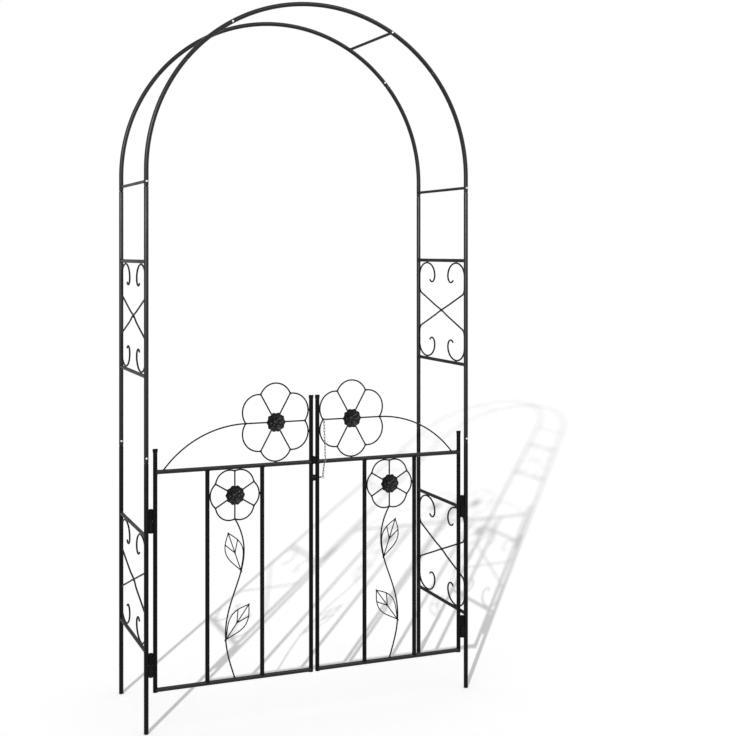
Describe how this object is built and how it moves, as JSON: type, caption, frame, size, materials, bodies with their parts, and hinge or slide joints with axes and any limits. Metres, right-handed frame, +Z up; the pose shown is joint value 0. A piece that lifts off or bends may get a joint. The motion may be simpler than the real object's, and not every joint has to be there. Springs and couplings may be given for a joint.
{
  "type": "garden arch with gate",
  "caption": "Round-topped garden arch of black steel tube with scrolled side panels and a two-leaf gate carrying wire flowers, closed by a pin on a chain.",
  "frame": {"origin": "on the ground, in the middle of the four posts", "axes": "+Z up, +X across the arch, +Y through it away from the gate's front"},
  "size_m": [1.14, 0.4175, 2.3484],
  "materials": {
    "powder_coat": "satin black powder coat",
    "cast_steel": "black powder coat on a rough casting",
    "zinc": "bright zinc plating"
  },
  "bodies": {
    "arch_frame": {"front_left_lower_post": "powder_coat", "front_left_upper_post": "powder_coat", "front_left_shoulder": "powder_coat", "front_right_lower_post": "powder_coat", "front_right_upper_post": "powder_coat", "front_right_shoulder": "powder_coat", "back_left_lower_post": "powder_coat", "back_left_upper_post": "powder_coat", "back_left_shoulder": "powder_coat", "back_right_lower_post": "powder_coat", "back_right_upper_post": "powder_coat", "back_right_shoulder": "powder_coat", "front_crown": "powder_coat", "back_crown": "powder_coat", "left_spring_bar": "powder_coat", "left_top_bar": "powder_coat", "right_spring_bar": "powder_coat", "right_top_bar": "powder_coat", "left_lower_panel_bottom_bar": "powder_coat", "left_lower_panel_top_bar": "powder_coat", "left_lower_panel_scrolls": "powder_coat", "left_lower_post_hinge": "powder_coat", "left_upper_panel_bottom_bar": "powder_coat", "left_upper_panel_top_bar": "powder_coat", "left_upper_panel_scrolls": "powder_coat", "left_upper_post_hinge": "powder_coat", "right_lower_panel_bottom_bar": "powder_coat", "right_lower_panel_top_bar": "powder_coat", "right_lower_panel_scrolls": "powder_coat", "right_lower_post_hinge": "powder_coat", "right_upper_panel_bottom_bar": "powder_coat", "right_upper_panel_top_bar": "powder_coat", "right_upper_panel_scrolls": "powder_coat", "right_upper_post_hinge": "powder_coat"},
    "left_leaf": {"left_hinge_stile": "powder_coat", "left_meeting_stile": "powder_coat", "left_top_rail": "powder_coat", "left_bottom_rail": "powder_coat", "left_outer_bar": "powder_coat", "left_inner_bar": "powder_coat", "left_arc_wire": "powder_coat", "left_large_flower": "powder_coat", "left_large_rosette": "cast_steel", "left_small_flower": "powder_coat", "left_stem": "powder_coat", "left_keeper": "powder_coat", "left_stop_bead": "powder_coat"},
    "right_leaf": {"right_hinge_stile": "powder_coat", "right_meeting_stile": "powder_coat", "right_top_rail": "powder_coat", "right_bottom_rail": "powder_coat", "right_outer_bar": "powder_coat", "right_inner_bar": "powder_coat", "right_arc_wire": "powder_coat", "right_large_flower": "powder_coat", "right_large_rosette": "cast_steel", "right_small_flower": "powder_coat", "right_stem": "powder_coat"},
    "latch_pin": {"latch_pin": "zinc"},
    "latch_chain": {"latch_chain": "zinc"}
  },
  "joints": [
    {"name": "left_leaf_swing", "type": "hinge", "parent": "arch_frame", "child": "left_leaf", "pos_m": [-0.548, -0.198, 0.215], "axis": [0, 0, 1], "range_deg": [-105, 85]},
    {"name": "right_leaf_swing", "type": "hinge", "parent": "arch_frame", "child": "right_leaf", "pos_m": [0.548, -0.198, 0.215], "axis": [0, 0, -1], "range_deg": [-105, 85]},
    {"name": "latch_slide", "type": "slide", "parent": "right_leaf", "child": "latch_pin", "axis": [-1, 0, 0], "range_m": [-0.01, 0.0075]},
    {"name": "chain_swing", "type": "hinge", "parent": "right_leaf", "child": "latch_chain", "pos_m": [0.036, -0.196, 0.9608], "axis": [0, 1, 0], "range_deg": [-3.1, 2.4]}
  ],
  "couplings": [
    {"joint": "chain_swing", "follows": "latch_slide", "rad_per_m": 5.29}
  ]
}
